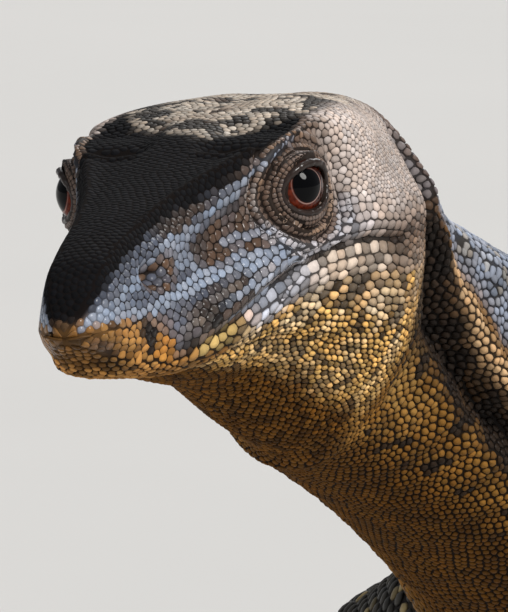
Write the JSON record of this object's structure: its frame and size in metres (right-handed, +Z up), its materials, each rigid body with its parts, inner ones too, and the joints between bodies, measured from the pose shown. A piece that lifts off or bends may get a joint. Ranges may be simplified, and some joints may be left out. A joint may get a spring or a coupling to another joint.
{
  "type": "water monitor lizard",
  "caption": "life-size still model of an adult water monitor lizard, standing on all fours with its head raised and turned to its left and its long tail trailing behind",
  "frame": {"origin": "on the floor, under the middle of the model's bounding box", "axes": "+Z up; the head faces -Y and the tail trails towards +Y; the animal's left side is +X"},
  "size_m": [0.3988, 1.692, 0.2246],
  "materials": {
    "head_skin": "fine dry scales, black snout top, pale sides",
    "neck_skin": "beaded scales, yellow-tan with black flecks",
    "body_skin": "beaded scales, dark grey with rows of pale spots",
    "leg_skin": "beaded scales, dark with pale flecks",
    "tail_skin": "ringed scales, dark with pale bands",
    "eye": "wet, red-brown iris round a black pupil",
    "claw_horn": "smooth dark horn"
  },
  "bodies": {
    "root": {"head": "head_skin", "eye_left": "eye", "eye_right": "eye", "neck": "neck_skin", "torso": "body_skin", "tail_base": "tail_skin", "tail_middle": "tail_skin", "tail_end": "tail_skin", "tail_tip": "tail_skin", "fore_left_leg": "leg_skin", "fore_left_foot": "leg_skin", "fore_left_claw_1": "claw_horn", "fore_left_claw_2": "claw_horn", "fore_left_claw_3": "claw_horn", "fore_left_claw_4": "claw_horn", "fore_left_claw_5": "claw_horn", "fore_right_leg": "leg_skin", "fore_right_foot": "leg_skin", "fore_right_claw_1": "claw_horn", "fore_right_claw_2": "claw_horn", "fore_right_claw_3": "claw_horn", "fore_right_claw_4": "claw_horn", "fore_right_claw_5": "claw_horn", "hind_left_leg": "leg_skin", "hind_left_foot": "leg_skin", "hind_left_claw_1": "claw_horn", "hind_left_claw_2": "claw_horn", "hind_left_claw_3": "claw_horn", "hind_left_claw_4": "claw_horn", "hind_left_claw_5": "claw_horn", "hind_right_leg": "leg_skin", "hind_right_foot": "leg_skin", "hind_right_claw_1": "claw_horn", "hind_right_claw_2": "claw_horn", "hind_right_claw_3": "claw_horn", "hind_right_claw_4": "claw_horn", "hind_right_claw_5": "claw_horn"}
  },
  "joints": []
}
